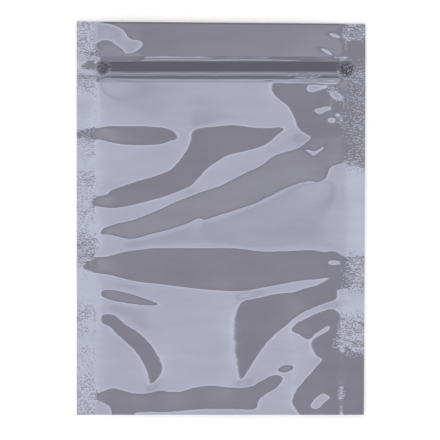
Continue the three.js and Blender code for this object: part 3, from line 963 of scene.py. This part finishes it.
def make_floor():
    """Pale floor, just below the bag, which glows a little where a ray sees it straight."""
    mesh = bpy.data.meshes.new("floor")
    side = FLOOR_SIDE / 2
    corners = [(-side, -side, 0), (side, -side, 0), (side, side, 0), (-side, side, 0)]
    mesh.from_pydata(corners, [], [(0, 1, 2, 3)])
    floor = bpy.data.objects.new("floor", mesh)
    floor.location.z = cad_box[0][2] - FLOOR_BELOW
    bpy.context.scene.collection.objects.link(floor)
    material, nodes, shader = new_material("floor")
    shader.inputs["Base Color"].default_value = (*FLOOR_COLOR, 1)
    shader.inputs["Roughness"].default_value = 0.8
    shader.inputs["Emission Color"].default_value = (*WHITE, 1)
    rays = nodes.add("ShaderNodeLightPath")
    seen = nodes.math("MAXIMUM", rays.outputs["Is Camera Ray"], rays.outputs["Is Glossy Ray"])
    seen = nodes.math("MAXIMUM", seen, rays.outputs["Is Transmission Ray"])
    nodes.set(shader.inputs["Emission Strength"], nodes.math("MULTIPLY", seen, FLOOR_GLOW))
    mesh.materials.append(material)


# Light of the studio overhead, by how far it comes from the mouth's side, and its colour.
# The softbox fills the bottom side and is a little brighter along its edge.
SKY = [
    (-0.250, (1.00, 1.00, 1.00)),
    (-0.180, (0.97, 0.97, 0.97)),
    (-0.125, (0.85, 0.85, 0.85)),
    (-0.112, (0.86, 0.86, 0.86)),
    (-0.086, (1.00, 1.00, 1.00)),
    (-0.040, (1.01, 1.01, 1.01)),
    (-0.028, (1.09, 1.10, 1.10)),
    (-0.014, (1.21, 1.23, 1.22)),
    (-0.003, (1.36, 1.38, 1.37)),
    (0.003, (0.52, 0.498, 0.485)),
    (0.036, (0.54, 0.517, 0.505)),
    (0.056, (0.575, 0.552, 0.538)),
    (0.110, (0.675, 0.652, 0.632)),
    (0.250, (0.675, 0.645, 0.625)),
]

# Soft panels and the gaps between them, away from overhead
PANEL_LIGHT = (1.04, 1.04, 1.04)
PANEL_GAP = (0.56, 0.54, 0.53)
PANEL_EDGE = (0.40, 0.56)
PANELS_PER_RADIAN = 5.0
OVERHEAD = (0.14, 0.34)
OVERHEAD_NARROWING = 0.9

SUN_STRENGTH = 0.25
SUN_WIDTH = math.radians(30)
SUN_TURN = (math.radians(58), math.radians(-24), 0)


def studio_light(nodes):
    """Light of the studio by its direction: the sky overhead and soft panels further down."""
    direction = nodes.add("ShaderNodeTexCoord").outputs["Generated"]
    split = nodes.add("ShaderNodeSeparateXYZ")
    nodes.set(split.inputs[0], direction)
    start = SKY[0][0]
    span = SKY[-1][0] - start
    place = nodes.math("MULTIPLY_ADD", split.outputs[1], 1 / span, -start / span, clamp=True)
    sky = nodes.ramp(place, [((where - start) / span, color) for where, color in SKY])
    panels = nodes.noise(direction, PANELS_PER_RADIAN, 1.0)
    panels = nodes.ramp(panels, [(PANEL_EDGE[0], PANEL_GAP), (PANEL_EDGE[1], PANEL_LIGHT)])
    aside = nodes.math("ABSOLUTE", split.outputs[1])
    height = nodes.math("MULTIPLY_ADD", aside, -OVERHEAD_NARROWING, split.outputs[2])
    overhead = nodes.step(height, *OVERHEAD)
    return nodes.blend(panels, sky, overhead)


def make_light():
    scene = bpy.context.scene
    world = bpy.data.worlds.new("studio")
    world.use_nodes = True
    scene.world = world
    nodes = Nodes(world.node_tree)
    seen = nodes.add("ShaderNodeLightPath").outputs["Is Camera Ray"]
    light = nodes.blend(studio_light(nodes), nodes.color(WHITE), seen)
    background = nodes.add("ShaderNodeBackground")
    nodes.set(background.inputs["Color"], light)
    output = nodes.add("ShaderNodeOutputWorld")
    nodes.set(output.inputs["Surface"], background.outputs[0])

    lamp = bpy.data.lights.new("soft_sun", "SUN")
    lamp.energy = SUN_STRENGTH
    lamp.angle = SUN_WIDTH
    sun = bpy.data.objects.new("soft_sun", lamp)
    sun.rotation_euler = SUN_TURN
    scene.collection.objects.link(sun)


def make_camera():
    """Straight above the photograph's middle, from far off, as the photo shows no convergence."""
    data = bpy.data.cameras.new("camera")
    side = PHOTO_SIDE * PIXEL
    data.lens = data.sensor_width * CAMERA_HEIGHT / side
    data.clip_start = CAMERA_NEAREST
    data.clip_end = 2 * CAMERA_HEIGHT
    camera = bpy.data.objects.new("camera", data)
    x = (PHOTO_SIDE / 2 - PHOTO_LEFT) * PIXEL_ACROSS - BAG_WIDTH / 2
    y = (PHOTO_BOTTOM - PHOTO_SIDE / 2) * PIXEL - BAG_LENGTH / 2
    camera.location = (x, y, CAMERA_HEIGHT)
    bpy.context.scene.collection.objects.link(camera)
    bpy.context.scene.camera = camera


def paint(node, material):
    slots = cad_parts[node].data.materials
    slots.clear()
    slots.append(material)


make_camera()
make_light()
make_floor()
relief = Relief()
film = build_film(relief, relief.settle())
film.data.materials.append(film_material())
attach(film, "root")
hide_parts("film_body")
paint("zip_channel_strip", strip_material("channel_plastic", CHANNEL_COLOR))
paint("zip_rib_strip", strip_material("rib_plastic", RIB_COLOR))

bpy.context.scene.view_settings.view_transform = "Standard"
